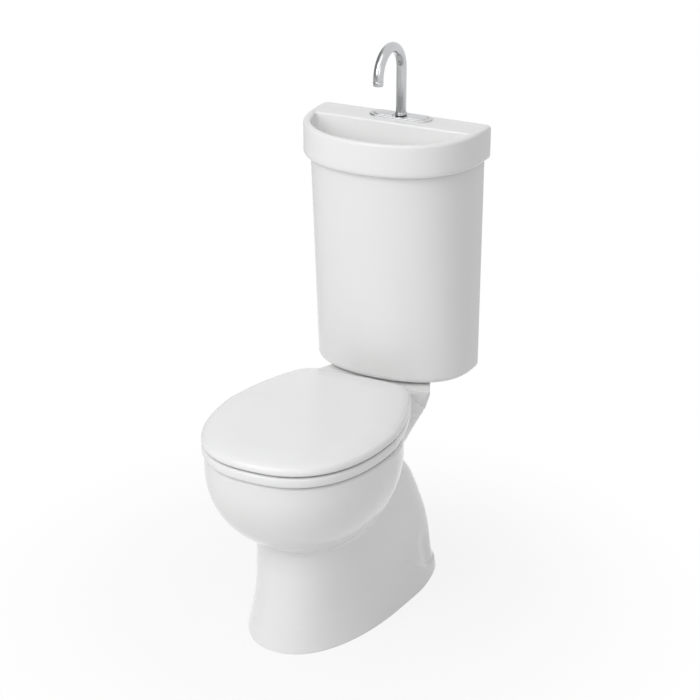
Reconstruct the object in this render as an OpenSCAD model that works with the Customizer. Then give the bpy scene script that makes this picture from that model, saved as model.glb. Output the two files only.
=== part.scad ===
// Toilet with a hand basin on its cistern. The fresh water that refills the cistern first
// runs out of the spout, so the hands are washed in it, and the basin drains into the cistern.
// +Z is up and the front faces -Y. Every length that ends in _d is a distance from the wall
// that the cistern stands against, and at() turns it into a Y coordinate.

/* [Pan] */
// Height of the pan's rim above the floor
rim_z = 396; // [392:1:400]
// Half width of the bowl at its rim
bowl_half_w = 176; // [174:1:177]
// Distance from the wall to the widest line of the bowl
bowl_wide_d = 412; // [406:1:418]
// Distance from the wall to the front of the bowl
bowl_front_d = 647; // [642:1:650]
// Half width of the bowl's opening
opening_half_w = 128; // [120:1:132]
// Height of the thick flange round the foot
plinth_h = 38; // [34:1:42]
// Radius of the outlet spigot under the foot
spigot_r = 51; // [50:0.5:55]
// Distance from the wall to the outlet's centre
spigot_d = 173; // [170:1:176]
// Half the distance between the floor screws
floor_screw_x = 128; // [126:1:130]
// Radius of a floor screw's hole
floor_screw_r = 3.5; // [3:0.5:4]

/* [Cistern] */
// Height of the cistern's underside
tank_z = 406; // [405:0.5:408]
// Height of the cistern's walls
tank_h = 459; // [450:1:462]
// Half width of the cistern at the top
tank_half_w = 170; // [168:1:171]
// Depth of the cistern at the top
tank_top_d = 204; // [202:1:204]
// Depth of the cistern at the bottom
tank_foot_d = 152; // [150:1:160]
// Thickness of the cistern's walls
tank_wall = 10; // [9:1:11]
// Half the distance between the wall screws
wall_screw_x = 110; // [100:1:120]

/* [Basin] */
// Height of the basin's rim
basin_z = 920; // [918:1:922]
// Half width of the basin
basin_half_w = 183; // [182:1:185]
// Depth of the basin from the wall
basin_d = 216; // [215:1:218]
// Height of the band round the basin
band_h = 67; // [64:1:70]
// Depth of the flat deck behind the bowl
deck_d = 70; // [68:1:72]
// Depth of water that the basin can hold
bowl_h = 95; // [90:1:98]

/* [Spout] */
// Radius of the spout's tube
spout_r = 10; // [9:0.5:10.5]
// Radius of the spout's bend
bend_r = 52; // [50:1:58]
// Height of the top of the spout
spout_top_z = 1080; // [1070:1:1090]
// Distance from the wall to the spout and the buttons
deck_line_d = 28; // [27:0.5:29]

/* [Buttons] */
// Length of the button plate
plate_l = 132; // [128:1:134]
// Width of the button plate
plate_w = 42; // [40:1:44]
// How far a button goes down
button_travel = 7; // [5:0.5:7]

/* [Seat] */
// Half width of the lid
lid_half_w = 178.5; // [177:0.5:180]
// Distance from the wall to the front of the lid
lid_front_d = 656; // [652:1:660]
// Distance from the wall to the back of the lid
lid_back_d = 211; // [210:1:213]
// Thickness of the seat ring
ring_h = 21; // [20:0.5:22]
// Half the distance between the two hinge posts
hinge_x = 77.5; // [75:0.5:80]
// Distance from the wall to the hinge pin
hinge_d = 230; // [229:0.5:231]

/* [Hidden] */
$fn = 48;

china = [0.96, 0.96, 0.95];
plastic = [0.95, 0.95, 0.95];
chromed = [0.78, 0.8, 0.82];
rubber = [0.16, 0.16, 0.17];
moulding = [0.88, 0.89, 0.9];
steel = [0.62, 0.63, 0.65];

eps = 0.01;
ring_n = 56;     // points round the pan, the seat ring and the lid
dee_n = 36;      // steps round the front of the cistern and the basin
wall_y = lid_front_d / 2;

function at(d) = wall_y - d;
function spow(v, p) = sign(v) * pow(abs(v), p);

// ---- smooth curves through a table of stations, each [height, value, value, ...] ----

function rise(t, k, i) = (t[i + 1][k] - t[i][k]) / (t[i + 1][0] - t[i][0]);
function slope(t, k, i) =
    i == 0 ? rise(t, k, 0)
    : i == len(t) - 1 ? rise(t, k, i - 1)
    : let (a = rise(t, k, i - 1), b = rise(t, k, i)) a * b <= 0 ? 0 : 2 * a * b / (a + b);
function segment(z, t, i = 0) = i >= len(t) - 2 || z <= t[i + 1][0] ? i : segment(z, t, i + 1);
function station(z, t, k) =
    let (
        i = segment(z, t),
        span = t[i + 1][0] - t[i][0],
        u = min(max((z - t[i][0]) / span, 0), 1),
        a = t[i][k],
        b = t[i + 1][k]
    )
    a + (b - a) * u * u * (3 - 2 * u)
        + span * u * (1 - u) * (slope(t, k, i) * (1 - u) - slope(t, k, i + 1) * u);

// ---- outlines, anticlockwise from above ----

// An egg: round at the front, and squarer and narrower behind its widest line.
function egg(half_w, wide, front, back, back_w, n_front = 2.3, n_back = 3.4) = [
    for (i = [0:ring_n - 1])
        let (t = 360 * i / ring_n, c = cos(t), s = sin(t), u = pow(abs(s), 2 / n_back))
        s <= 0
            ? [half_w * spow(c, 2 / n_front), at(wide + (front - wide) * pow(-s, 2 / n_front))]
            : [(half_w + (back_w - half_w) * pow(u, 1.4)) * spow(c, 2 / n_back),
                at(wide - (wide - back) * u)]
];

// A D with its flat side towards the wall.
function dee(half_w, front, back = 0) = [
    for (i = [0:dee_n])
        let (t = 180 - 180 * i / dee_n)
        [half_w * spow(cos(t), 2 / 2.1), at(back + (front - back) * pow(sin(t), 2 / 3))]
];

// The same D cut off straight across, where the flat deck behind a bowl cuts it.
function cut_dee(half_w, front, cut) =
    let (t0 = asin(pow(cut / front, 1.5)))
    [
        for (i = [0:dee_n])
            let (t = 180 - t0 - (180 - 2 * t0) * i / dee_n)
            [half_w * spow(cos(t), 2 / 2.1), at(front * pow(sin(t), 2 / 3))]
    ];

function lift(outline, z) = [for (p = outline) [p[0], p[1], z]];

// ---- a closed skin over a row of rings that all have the same number of points ----

module skin(rings, joined = false) {
    n = len(rings[0]);
    m = len(rings);
    last = joined ? m - 1 : m - 2;
    sides = [
        for (k = [0:last], j = [0:n - 1])
            let (a = k * n, b = ((k + 1) % m) * n, i = (j + 1) % n)
            each [[a + j, b + j, b + i], [a + j, b + i, a + i]]
    ];
    caps = joined ? [] : [[for (j = [0:n - 1]) j], [for (j = [n - 1:-1:0]) (m - 1) * n + j]];
    polyhedron(points = [for (r = rings) each r], faces = concat(sides, caps), convexity = 10);
}

// ---- small shapes that repeat ----

module stadium(length, width) {
    square([length - width, width], center = true);
    for (side = [-1, 1])
        translate([side * (length - width) / 2, 0])
            circle(d = width);
}

// A slab between two heights, from [x, d] to [x, d].
module slab(x0, x1, d0, d1, z0, z1) {
    translate([x0, at(d1), z0])
        cube([x1 - x0, d1 - d0, z1 - z0]);
}

module post(x, d, r, z0, z1) {
    translate([x, at(d), z0])
        cylinder(r = r, h = z1 - z0);
}

module bar_x(d, z, r, x0, x1) {
    translate([x0, at(d), z])
        rotate([0, 90, 0])
            cylinder(r = r, h = x1 - x0);
}

module sleeve(x, d, r_out, r_in, z0, z1) {
    difference() {
        post(x, d, r_out, z0, z1);
        post(x, d, r_in, z0 - 1, z1 + 1);
    }
}

module hex_nut(x, d, across, r_in, z0, z1) {
    difference() {
        translate([x, at(d), z0])
            cylinder(r = across / 2 / cos(30), h = z1 - z0, $fn = 6);
        post(x, d, r_in, z0 - 1, z1 + 1);
    }
}

// ---- pan ----

// Foot and neck: height, half width, widest line, front, back, half width at the back.
pillar = [
    [0, 149, 230, 570, 88, 135],
    [plinth_h - 6, 142, 236, 562, 89, 133],
    [plinth_h, 140, 238, 560, 91, 131],
    [plinth_h + 9, 136, 246, 557, 92, 127],
    [78, 128.5, 270, 549, 88, 125],
    [118, 123, 300, 541, 96, 122.5],
    [177, 119, 335, 531, 121, 117.5],
    [236, 114, 345, 526, 155, 112],
    [286, 110, 345, 520, 200, 106],
    [300, 109, 345, 518, 212, 106],
    [316, 109, 345, 516, 200, 109],
    [330, 110, 345, 515, 176, 114],
    [346, 110, 345, 515, 142, 118],
    [355, 110, 345, 515, 108, 118],
    [364, 108, 345, 515, 82, 116],
    [376, 103, 345, 515, 84, 98],
    [rim_z, 102, 345, 515, 80, 84],
];
pillar_square = 6;      // how square the foot's back corners are
// Inside of the bowl: height, half width, widest line, front, back, half width at the back.
well = [
    [178, 42, 437, 479, 395, 42],
    [200, 50, 434, 486, 384, 50],
    [226, 72, 426, 506, 350, 68],
    [260, 98, 420, 540, 316, 90],
    [300, 120, 416, 572, 290, 108],
    [340, 133, 413, 594, 274, 118],
    [366, opening_half_w + 8, 412, 602, 268, 120],
    [374, opening_half_w, 412, 594, 276, 112],
    [rim_z - 5, opening_half_w, 412, 594, 276, 112],
    [rim_z, opening_half_w + 5, 412, 599, 271, 117],
];
// Centre line of the trap: distance from the wall, height, radius.
trap = [
    [436, 160, 40], [428, 132, 39], [404, 112, 38], [368, 106, 38], [332, 122, 38],
    [305, 158, 38], [285, 196, 37], [256, 219, 36], [226, 208, 36], [204, 172, 38],
    [188, 130, 40], [177, 90, 42], [spigot_d, 52, 45],
];
pan_c = 330;         // the outline of every level is seen from this line
bowl_curve_z = 366;  // where the bowl starts to curve in
bowl_curve_h = 188;
blend_r = 12;        // softness of the crease between bowl and foot
cavity_z = 52;
pan_heights = [
    0, 14, plinth_h - 6, plinth_h, plinth_h + 4.5, plinth_h + 9, 66, 92, 118, 145, 168, 184,
    196, 207, 218, 230, 244, 262, 282, 300, 315, 328, 340, 350, 358, 366, 378, rim_z - 8,
];

function bowl_scale(z) =
    z >= bowl_curve_z ? 1 : sqrt(max(1 - pow((bowl_curve_z - z) / bowl_curve_h, 2), 0));

// How far an outline reaches from pan_c in the direction of t.
function reach(outline, t) =
    let (u = [cos(t), sin(t)], o = [0, at(pan_c)], n = len(outline))
    max([0, for (i = [0:n - 1])
        let (
            p = outline[i] - o,
            e = outline[(i + 1) % n] - outline[i],
            k = u[0] * e[1] - u[1] * e[0]
        )
        if (abs(k) > 1e-9)
            let (r = (p[0] * e[1] - p[1] * e[0]) / k, f = (p[0] * u[1] - p[1] * u[0]) / k)
            if (r > 0 && f >= -1e-9 && f <= 1 + 1e-9) r]);

function soft_max(a, b) = let (h = max(blend_r - abs(a - b), 0)) max(a, b) + h * h / blend_r / 4;

function pan_outline(z, inset = 0) =
    let (
        s = bowl_scale(z),
        foot = egg(station(z, pillar, 1), station(z, pillar, 2), station(z, pillar, 3),
            station(z, pillar, 4), station(z, pillar, 5), 2.2, pillar_square),
        bowl = egg(bowl_half_w * s, bowl_wide_d, bowl_wide_d + (bowl_front_d - bowl_wide_d) * s,
            bowl_wide_d - 198 * s, 122 * s, 2.4, 2.7)
    )
    [for (i = [0:ring_n - 1])
        let (
            t = 360 * i / ring_n,
            r = (s < 0.5 ? reach(foot, t) : soft_max(reach(foot, t), reach(bowl, t))) - inset
        )
        [r * cos(t), at(pan_c) + r * sin(t)]];

function well_ring(z) = lift(egg(station(z, well, 1), station(z, well, 2), station(z, well, 3),
    station(z, well, 4), station(z, well, 5), 2.2, 2.8), z);

// A ring square to the trap's centre line.
function trap_ring(i) =
    let (
        a = trap[max(i - 1, 0)],
        b = trap[min(i + 1, len(trap) - 1)],
        ends = i == 0 || i == len(trap) - 1,
        dy = ends ? 0 : a[0] - b[0],
        dz = ends ? -1 : b[1] - a[1],
        l = norm([dy, dz])
    )
    [for (j = [0:ring_n - 1])
        let (t = 360 * j / ring_n, s = trap[i][2] * sin(t))
        [trap[i][2] * cos(t), at(trap[i][0]) - s * dz / l, trap[i][1] + s * dy / l]];

function spigot_shoulder() = [
    for (i = [0:ring_n - 1])
        let (t = 360 * i / ring_n, r = spigot_r + 5)
        [r * cos(t), at(spigot_d) + r * sin(t), cavity_z]
];

function foot_cavity(z) =
    let (o = egg(114, 236, 538, 112, 104, 2.2, 4.5))
    [for (i = [0:ring_n - 1])
        let (t = 360 * i / ring_n, r = reach(o, t))
        [r * cos(t), at(pan_c) + r * sin(t), z]];

function pan_rings() = concat(
    [for (z = pan_heights) lift(pan_outline(z), z)],
    [lift(pan_outline(rim_z, 2), rim_z - 2.5), lift(pan_outline(rim_z, 8), rim_z)],
    [for (z = [rim_z, rim_z - 4, 374, 366, 340, 300, 260, 226, 200]) well_ring(z)],
    [for (i = [0:len(trap) - 1]) trap_ring(i)],
    [spigot_shoulder(), foot_cavity(cavity_z), foot_cavity(0)]
);

shelf_z = 402;          // top of the shelf that carries the cistern
shelf_front_d = 154;
shelf_half_w = 125;
tank_bolt = [62, 60];   // x, d of a cistern bolt
outlet_d = 75;          // distance from the wall to the flush outlet
recess_r = 48;
recess_z = 378;

module shelf() {
    hull() {
        for (side = [-1, 1]) {
            post(side * (shelf_half_w - 8), shelf_front_d - 8, 8, 394, shelf_z - 2);
            post(side * (shelf_half_w - 8), shelf_front_d - 8, 6, 394, shelf_z);
            post(side * (shelf_half_w - 27), shelf_front_d - 22, 10, 368, 380);
            post(side * 60, 32, 14, 384, shelf_z - 2);
            post(side * 60, 32, 12, 384, shelf_z);
            post(side * 54, 42, 12, 368, 380);
        }
    }
}

// The duct under the shelf that leads the flush water forwards.
module flush_duct() {
    hull() {
        post(0, outlet_d, 40, 338, 372);
        post(0, outlet_d, 32, 332, 372);
        post(0, 150, 44, 322, 372);
    }
}

module floor_screw_cuts(side) {
    post(side * floor_screw_x, 165, floor_screw_r, -1, plinth_h);
    post(side * 149, 165, 29, 23, 66);
}

module pan() {
    color(china)
        difference() {
            union() {
                skin(pan_rings(), joined = true);
                shelf();
                flush_duct();
                sleeve(0, spigot_d, spigot_r, 43, 0, cavity_z + 2);
            }
            for (side = [-1, 1]) {
                floor_screw_cuts(side);
                post(side * hinge_x, hinge_d, 8, 356, rim_z + 1);
                post(side * tank_bolt[0], tank_bolt[1], 5, 340, shelf_z + 1);
                post(side * tank_bolt[0], tank_bolt[1], 16, 330, 374);
            }
            post(0, outlet_d, recess_r, recess_z, shelf_z + 1);
            post(0, outlet_d, 30, 342, recess_z + 1);
            translate([0, at(outlet_d), 358])
                rotate([94.5, 0, 0])
                    cylinder(r = 16, h = 230);
        }
}

// ---- cistern ----

tank_top_z = tank_z + tank_h;
floor_t = 12;
floor_z = tank_z + floor_t;
foot_r = 15;            // rounding of the lower edge
fill_x = -105;
fill_d = 42;

function tank_front(z) =
    tank_foot_d + (tank_top_d - tank_foot_d) * (z - tank_z) / tank_h;
function tank_side(z) = tank_half_w - 2 * (tank_top_z - z) / tank_h;
function tank_ring(z, inset, back) =
    lift(dee(tank_side(z) - inset, tank_front(z) - inset, back), z);
// A quarter round of radius r that starts flat at height z.
function rounded_foot(r, z, wall, steps) = [
    for (i = [0:steps])
        let (t = 90 * i / steps)
        tank_ring(z + r * (1 - cos(t)), wall + r * (1 - sin(t)), wall + 0.5 * r * (1 - sin(t)))
];

module cistern_tank() {
    shell = concat(
        rounded_foot(foot_r, tank_z, 0, 5),
        [tank_ring(tank_top_z - 30, 0, 0), tank_ring(tank_top_z, 0, 0)],
        [tank_ring(tank_top_z, tank_wall, tank_wall)],
        [for (i = [3:-1:0]) rounded_foot(14, floor_z, tank_wall, 3)[i]]
    );
    color(china)
        difference() {
            skin(shell);
            post(0, outlet_d, 31, tank_z - 1, floor_z + 1);
            post(fill_x, fill_d, stem_r + 0.7, tank_z - 1, floor_z + 1);
            for (side = [-1, 1]) {
                post(side * tank_bolt[0], tank_bolt[1], 5, tank_z - 1, floor_z + 1);
                translate([side * wall_screw_x, at(tank_wall + 1), tank_top_z - 45])
                    rotate([-90, 0, 0])
                        cylinder(r = 4, h = tank_wall + 2);
            }
        }
}

module cistern_gasket() {
    color(rubber)
        sleeve(0, outlet_d, 46, 30.5, recess_z, recess_z + 14);
}

module cistern_bolts() {
    color(steel)
        for (side = [-1, 1]) {
            post(side * tank_bolt[0], tank_bolt[1], 4, 352, floor_z + 5);
            post(side * tank_bolt[0], tank_bolt[1], 9, floor_z + 4, floor_z + 9);
        }
}

module cistern_bolt_washers() {
    color(rubber)
        for (side = [-1, 1])
            sleeve(side * tank_bolt[0], tank_bolt[1], 11, 4.05, floor_z, floor_z + 4);
}

module cistern_wing_nuts() {
    color(moulding)
        for (side = [-1, 1]) {
            difference() {
                union() {
                    post(side * tank_bolt[0], tank_bolt[1], 8, 362, 374);
                    translate([side * tank_bolt[0], at(tank_bolt[1]), 366])
                        cube([27, 3, 8], center = true);
                }
                post(side * tank_bolt[0], tank_bolt[1], 4.05, 350, 380);
            }
        }
}

// ---- basin ----

waste_d = 128;
waste_r = 20;
// Inside of the basin: height, half width, front, distance of its back from the wall.
basin_well = [
    [basin_z - bowl_h, 92, 160, 95],
    [basin_z - bowl_h + 3, 108, 168, 90],
    [basin_z - bowl_h + 16, 128, 178, 82],
    [basin_z - 52, 147, 184, 77],
    [basin_z - 22, 158, 193, 74],
    [basin_z - 4, 161, 196, 72.5],
    [basin_z, 165, 200, deck_d],
];
skin_t = 9;

function basin_ring(z, grow = 0, drop = 0) = lift(cut_dee(station(z, basin_well, 1) + grow,
    station(z, basin_well, 2) + grow, station(z, basin_well, 3) - grow), z - drop);
function band_ring(z, inset, back = 0) =
    lift(dee(basin_half_w - inset, basin_d - inset, back), z);

module basin() {
    band_z = basin_z - band_h;
    lap = 2.4;          // gap between the band and the cistern inside it
    low = basin_z - bowl_h;
    shell = concat(
        [for (z = [low, low + 3, low + 16]) basin_ring(z, skin_t, skin_t)],
        [basin_ring(basin_z - 62, skin_t)],
        [lift(cut_dee(tank_half_w - 13, tank_top_d - 13, 70), tank_top_z)],
        [lift(dee(tank_half_w + lap, tank_top_d + lap, 6), tank_top_z)],
        [lift(dee(tank_half_w + lap, tank_top_d + lap, 6), band_z + 1)],
        [band_ring(band_z, 8), band_ring(band_z + 3, 3.6), band_ring(band_z + 8, 0.9)],
        [band_ring(band_z + 14, 0), band_ring(basin_z - 6, 0), band_ring(basin_z - 2, 1)],
        [band_ring(basin_z, 4.5, 0.5)],
        [for (z = [basin_z, basin_z - 4, basin_z - 22, basin_z - 52, low + 16, low + 3, low])
            basin_ring(z)]
    );
    color(china)
        difference() {
            skin(shell);
            slab(-tank_half_w - lap, tank_half_w + lap, -1, 9, band_z - 1, tank_top_z);
            slab(-145, 145, 12, 62, tank_top_z - 1, basin_z - 12);
            post(0, waste_d, waste_r, low - 20, basin_z);
            translate([0, at(deck_line_d), basin_z - 20])
                linear_extrude(30)
                    stadium(well_l, 32);
        }
}

low_z = basin_z - bowl_h;

module waste_strainer() {
    color(chromed)
        difference() {
            union() {
                post(0, waste_d, 27, low_z, low_z + 2);
                post(0, waste_d, 19, low_z - 34, low_z + 1);
            }
            post(0, waste_d, 16.5, low_z - 40, low_z - 1.5);
            for (t = [0:45:315])
                translate([0, at(waste_d), low_z - 3])
                    rotate(t)
                        translate([9, 0, 0])
                            cylinder(r = 2.8, h = 8);
            post(0, waste_d, 2.8, low_z - 3, low_z + 5);
        }
}

module waste_seal() {
    color(rubber)
        sleeve(0, waste_d, 29, 19.2, low_z - skin_t - 3, low_z - skin_t);
}

module waste_tail() {
    color(moulding) {
        sleeve(0, waste_d, 27, 19.1, low_z - skin_t - 13, low_z - skin_t - 3);
        sleeve(0, waste_d, 22, 19.1, low_z - skin_t - 30, low_z - skin_t - 12);
    }
}

// ---- spout ----

plate_t = 3;
plate_z = basin_z + plate_t;
bend_z = spout_top_z - spout_r - bend_r;
outlet_drop = 4;
shank_r = 8;
shank_z = basin_z - 40;

module spout_cut(r_out, r_in) {
    difference() {
        circle(r = r_out);
        circle(r = r_in);
    }
}

module spout() {
    bore = spout_r - 1.5;
    color(chromed) {
        sleeve(0, deck_line_d, spout_r, bore, plate_z + 6, bend_z);
        translate([0, at(deck_line_d + bend_r), bend_z])
            rotate([90, 0, 90])
                rotate_extrude(angle = 180)
                    translate([bend_r, 0])
                        spout_cut(spout_r, bore);
        sleeve(0, deck_line_d + 2 * bend_r, spout_r, bore, bend_z - outlet_drop, bend_z);
        sleeve(0, deck_line_d, spout_r + 2, 5, plate_z + 1, plate_z + 6);
        sleeve(0, deck_line_d, shank_r, 5, shank_z, plate_z + 1);
    }
}

module spout_o_ring() {
    color(rubber)
        sleeve(0, deck_line_d, 10.5, shank_r + 0.05, plate_z, plate_z + 1);
}

module spout_washer() {
    color(steel)
        sleeve(0, deck_line_d, 14, shank_r + 0.1, basin_z - 24, basin_z - 22);
}

module spout_nut() {
    color(steel)
        hex_nut(0, deck_line_d, 24, shank_r + 0.05, basin_z - 31, basin_z - 24);
}

// Route of the hose from the fill valve to the spout: x, distance from the wall, height.
hose_route = [
    [-84, 42, 706], [-79, 42, 708], [-75, 43, 714], [-73, 44, 724], [-73, 45, 740],
    [-73, 47, 758], [-72, 49, 776], [-69, 51, 794], [-62, 52, 810], [-51, 53, 824],
    [-38, 52, 834], [-25, 49, 841], [-14, 44, 847], [-6, 37, 853], [-1, 31, 861],
    [0, deck_line_d, 870], [0, deck_line_d, shank_z],
];
hose_r = 5;
hose_n = 10;

function unit(v) = v / norm(v);
function route_point(i) = [hose_route[i][0], at(hose_route[i][1]), hose_route[i][2]];
function route_way(i) =
    i == 0 ? [1, 0, 0]
    : i >= len(hose_route) - 2 ? [0, 0, 1]
    : unit(route_point(i + 1) - route_point(i - 1));
// A direction square to the route, found without a twist from one ring to the next.
function route_side(i) =
    i == 0 ? [0, -1, 0]
    : let (w = route_way(i), s = route_side(i - 1)) unit(s - w * (s * w));
function hose_ring(i, r) =
    let (s = route_side(i), c = cross(route_way(i), s))
    [for (j = [0:hose_n - 1])
        let (t = 360 * j / hose_n)
        route_point(i) + r * (cos(t) * s + sin(t) * c)];

module spout_hose() {
    n = len(hose_route);
    color(moulding)
        skin(concat(
            [for (i = [0:n - 1]) hose_ring(i, hose_r)],
            [for (i = [n - 1:-1:0]) hose_ring(i, hose_r - 1.5)]
        ), joined = true);
}

// ---- buttons ----

button_in = 13;         // nearest that a button comes to the spout
button_l = 44;
button_w = 29;
button_z = plate_z + 0.8;
button_h = 8;
rod_x = 38;
rod_r = 3;
well_z = basin_z - 15;
well_l = 118;           // length of the hole in the deck under the plate

module button_outline(grow = 0) {
    translate([button_in - grow, -button_w / 2 - grow])
        square([button_l - button_w / 2 + grow, button_w + 2 * grow]);
    translate([button_in + button_l - button_w / 2, 0])
        circle(r = button_w / 2 + grow);
}

module button_side(side) {
    translate([0, at(deck_line_d), 0])
        mirror([side < 0 ? 1 : 0, 0, 0])
            children();
}

module button_plate() {
    color(chromed)
        difference() {
            translate([0, at(deck_line_d), basin_z])
                linear_extrude(plate_t)
                    stadium(plate_l, plate_w);
            for (side = [-1, 1])
                button_side(side)
                    translate([0, 0, basin_z - 1])
                        linear_extrude(plate_t + 2)
                            button_outline(0.6);
            post(0, deck_line_d, shank_r + 0.3, basin_z - 1, plate_z + 1);
        }
}

module button_housing() {
    color(moulding)
        difference() {
            union() {
                translate([0, at(deck_line_d), basin_z - 20])
                    linear_extrude(12)
                        stadium(well_l - 2, 30.6);
                translate([0, at(deck_line_d), basin_z - 22])
                    linear_extrude(9.7)
                        stadium(well_l + 12, 30.6);
            }
            for (side = [-1, 1]) {
                post(side * rod_x, deck_line_d, 12.6, well_z, basin_z);
                post(side * rod_x, deck_line_d, rod_r + 0.35, basin_z - 30, basin_z);
            }
            post(0, deck_line_d, shank_r + 0.3, basin_z - 30, basin_z);
        }
}

module button(side) {
    color(chromed)
        button_side(side) {
            translate([0, 0, button_z - 3])
                linear_extrude(3)
                    button_outline();
            translate([0, 0, button_z - button_h])
                linear_extrude(button_h - 2)
                    translate([rod_x, 0])
                        circle(r = 12);
        }
}

module button_full() {
    button(1);
}

module button_half() {
    button(-1);
}

rod_foot_z = 745.5;

module push_rod(side) {
    color(moulding)
        post(side * rod_x, deck_line_d, rod_r, rod_foot_z, button_z - button_h);
}

module push_rod_full() {
    push_rod(1);
}

module push_rod_half() {
    push_rod(-1);
}

spring_r = 6;
wire_r = 0.6;
spring_turns = 3;
spring_steps = 12;

module button_spring(side) {
    low = well_z + wire_r;
    high = button_z - button_h - wire_r;
    steps = spring_turns * spring_steps;
    color(steel)
        skin([
            for (i = [0:steps])
                let (t = 360 * i / spring_steps)
                [for (j = [5:-1:0])
                    let (r = spring_r + wire_r * cos(60 * j))
                    [side * rod_x + r * cos(t), at(deck_line_d) + r * sin(t),
                        low + (high - low) * i / steps + wire_r * sin(60 * j)]]
        ]);
}

module button_spring_full() {
    button_spring(1);
}

module button_spring_half() {
    button_spring(-1);
}

// ---- flush valve ----

cage_r = 34;
cage_top_z = 718;
pivot = [50, 740];      // distance from the wall and height of the rockers' pin
collar_z = 738;
float_rod = [-50, 80];  // x, d of the half flush float's rod

module flush_valve_body() {
    color(moulding)
        difference() {
            union() {
                sleeve(0, outlet_d, 29.5, 24, tank_z - 24, floor_z + 5);
                sleeve(0, outlet_d, 38, 24, floor_z + 3, floor_z + 7);
                sleeve(0, outlet_d, 27, 24, floor_z + 6, floor_z + 15);
                sleeve(0, outlet_d, cage_r, cage_r - 3, floor_z + 6, cage_top_z);
                sleeve(0, outlet_d, cage_r, 14.3, cage_top_z - 6, cage_top_z);
                slab(-64, 64, 44, 56, cage_top_z - 5, cage_top_z + 9);
                for (x = [-62, 0, 62])
                    slab(x - 2, x + 2, 44, 56, cage_top_z + 8, pivot[1] + 6);
                for (z = [655, 700])
                    slab(float_rod[0] - 6, -28, 75, 85, z, z + 5);
            }
            for (t = [45:90:315])
                translate([0, at(outlet_d), floor_z + 9])
                    rotate(t)
                        translate([cage_r - 14, -11, 0])
                            cube([20, 22, 46]);
            for (t = [45:90:315])
                translate([0, at(outlet_d), 520])
                    rotate(t)
                        translate([cage_r - 14, -11, 0])
                            cube([20, 22, 120]);
            post(0, outlet_d, 14.3, cage_top_z - 10, cage_top_z + 12);
            post(float_rod[0], float_rod[1], 2.4, 640, 720);
            bar_x(pivot[0], pivot[1], 2.5, -70, 70);
        }
}

module flush_valve_washer() {
    color(rubber)
        sleeve(0, outlet_d, 38, 29.6, floor_z, floor_z + 3);
}

module flush_valve_nut() {
    color(moulding)
        difference() {
            union() {
                post(0, outlet_d, 40, recess_z + 14, tank_z - 0.5);
                for (t = [0:60:300])
                    translate([0, at(outlet_d), recess_z + 14])
                        rotate(t)
                            translate([36, -5, 0])
                                cube([9, 10, tank_z - 0.5 - recess_z - 14]);
            }
            post(0, outlet_d, 29.6, recess_z, tank_z);
        }
}

module flush_tube() {
    color(plastic) {
        sleeve(0, outlet_d, 14, 12, floor_z + 18.3, collar_z + 4);
        sleeve(0, outlet_d, 29, 12, floor_z + 18.3, floor_z + 22);
        for (side = [-1, 1])
            slab(side * 20 - 7, side * 20 + 7, 68, 82, collar_z, collar_z + 4);
    }
}

module flush_seal() {
    color(rubber)
        sleeve(0, outlet_d, 28, 12, floor_z + 15.3, floor_z + 18.3);
}

// A seesaw on the pin: the rod presses its back arm and its front arm lifts.
module rocker(side, arm_x) {
    color(plastic)
        difference() {
            union() {
                bar_x(pivot[0], pivot[1], 6, side < 0 ? -58 : 6, side < 0 ? -6 : 58);
                slab(side * rod_x - 6, side * rod_x + 6, 22, pivot[0], 737, rod_foot_z - 0.5);
                slab(arm_x, arm_x + 5, pivot[0], 84, 733, collar_z - 0.5);
            }
            bar_x(pivot[0], pivot[1], 2.55, -70, 70);
        }
}

module rocker_full() {
    rocker(1, 17);
}

module rocker_half() {
    rocker(-1, -58);
}

module rocker_pin() {
    color(steel)
        bar_x(pivot[0], pivot[1], 2.5, -64, 64);
}

module half_flush_float() {
    color(plastic) {
        post(float_rod[0], float_rod[1], 2, 636, collar_z + 6);
        post(float_rod[0], float_rod[1], 7, collar_z, collar_z + 3);
        post(float_rod[0], float_rod[1], 11, 600, 640);
    }
}

// ---- fill valve ----

inlet_r = 10.48;        // half inch pipe thread
inlet_z = 366;
stem_r = 11.5;          // the valve's plain stem above the inlet
stem_z = 394;
riser_r = 13;
riser_z = 715;
lever_d = 36;
lever_z = 737;
float_link_d = 63;

module fill_valve_body() {
    color(moulding)
        difference() {
            union() {
                post(fill_x, fill_d, inlet_r, inlet_z, stem_z + 1);
                post(fill_x, fill_d, stem_r, stem_z, floor_z + 5);
                post(fill_x, fill_d, 22, floor_z + 3, floor_z + 7);
                post(fill_x, fill_d, riser_r, floor_z + 6, riser_z);
                for (x = [-8, 8])
                    slab(fill_x + x - 1.5, fill_x + x + 1.5, 31, 41, riser_z - 5, lever_z + 5);
                bar_x(fill_d, 706, 4.5, fill_x + 5, -84);
            }
            post(fill_x, fill_d, 7, inlet_z - 1, 700);
            bar_x(fill_d, 706, 3, fill_x, -80);
            post(fill_x, fill_d, 3, 690, 706);
            bar_x(lever_d, lever_z, 1.5, fill_x - 20, fill_x + 20);
        }
}

module fill_valve_washer() {
    color(rubber)
        sleeve(fill_x, fill_d, 20, stem_r + 0.05, floor_z, floor_z + 3);
}

module fill_valve_nut() {
    color(moulding)
        hex_nut(fill_x, fill_d, 32, stem_r + 0.05, tank_z - 9, tank_z);
}

module fill_float() {
    color(plastic) {
        sleeve(fill_x, fill_d, 25, riser_r + 0.6, 560, 622);
        post(fill_x, float_link_d, 1.6, 620, lever_z - 4.6);
    }
}

module fill_lever() {
    color(plastic)
        difference() {
            union() {
                bar_x(lever_d, lever_z, 5, fill_x - 6, fill_x + 6);
                slab(fill_x - 4, fill_x + 4, lever_d, float_link_d + 4, lever_z - 3, lever_z + 2);
            }
            bar_x(lever_d, lever_z, 1.55, fill_x - 20, fill_x + 20);
        }
}

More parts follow.
